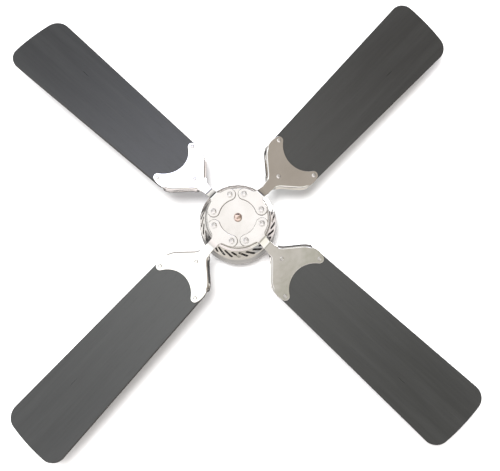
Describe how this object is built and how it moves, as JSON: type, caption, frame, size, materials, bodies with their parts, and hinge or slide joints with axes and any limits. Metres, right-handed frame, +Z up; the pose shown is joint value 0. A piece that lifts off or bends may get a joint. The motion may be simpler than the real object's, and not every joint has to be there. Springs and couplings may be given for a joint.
{
  "type": "ceiling fan",
  "caption": "Low-profile ceiling fan: a fixed hollow shaft under a ceiling canopy carries a slotted motor drum that spins wooden blades held by polished whale-tail irons.",
  "frame": {"origin": "centre of the two mounting slots, in the ceiling contact face of the bracket", "axes": "+Z up into the ceiling and along the spin axis, X along the line through the two mounting slots, blades on the diagonals between X and Y"},
  "size_m": [0.8146, 0.8146, 0.127],
  "materials": {
    "bearing_steel": "ground bearing steel",
    "black_plastic": "moulded plastic",
    "blade_wood": "dark grey laminate on wood board",
    "cage_aluminium": "as cast",
    "cap_bronze": "polished pinkish bronze",
    "copper_winding": "enamelled copper wire",
    "grommet_rubber": "moulded rubber",
    "insulation_green": "moulded insulation",
    "lamination_steel": "stacked silicon steel",
    "plated_screw": "bright plated steel",
    "polished_casting": "polished die-cast aluminium",
    "polished_nickel": "polished nickel plate on pressed steel",
    "shaft_steel": "ground steel",
    "white_plastic": "moulded plastic",
    "zinc_steel": "zinc plated steel"
  },
  "bodies": {
    "mount_frame": {"ceiling_bracket": "zinc_steel", "canopy": "polished_nickel", "shaft_flange": "shaft_steel", "hollow_shaft": "shaft_steel", "cross_pin": "shaft_steel", "circlips": "zinc_steel", "shaft_end_cap": "cap_bronze", "wire_bushing": "grommet_rubber", "bearing_inner_rings": "bearing_steel", "stator_core": "lamination_steel", "stator_insulator_upper": "insulation_green", "stator_insulator_lower": "insulation_green", "stator_windings": "copper_winding", "flange_screws": "zinc_steel", "canopy_screws": "plated_screw", "run_capacitor": "black_plastic", "terminal_block": "white_plastic", "terminal_screws": "zinc_steel"},
    "rotor": {"bearing_balls": "bearing_steel", "bearing_cages": "bearing_steel", "bearing_outer_rings": "bearing_steel", "blade_1": "blade_wood", "blade_2": "blade_wood", "blade_3": "blade_wood", "blade_4": "blade_wood", "blade_iron_1": "polished_nickel", "blade_iron_2": "polished_nickel", "blade_iron_3": "polished_nickel", "blade_iron_4": "polished_nickel", "blade_nuts": "zinc_steel", "blade_screws": "plated_screw", "blade_washers": "zinc_steel", "foot_screws": "plated_screw", "foot_washers": "plated_screw", "hub_plate": "polished_nickel", "lower_shell": "polished_casting", "preload_washer": "zinc_steel", "rotor_cage": "cage_aluminium", "rotor_core": "lamination_steel", "shell_screws": "zinc_steel", "upper_shell": "polished_casting"}
  },
  "joints": [
    {"name": "rotor_spin", "type": "hinge", "parent": "mount_frame", "child": "rotor", "pos_m": [0, 0, -0.08], "axis": [0, 0, 1], "continuous": true}
  ]
}
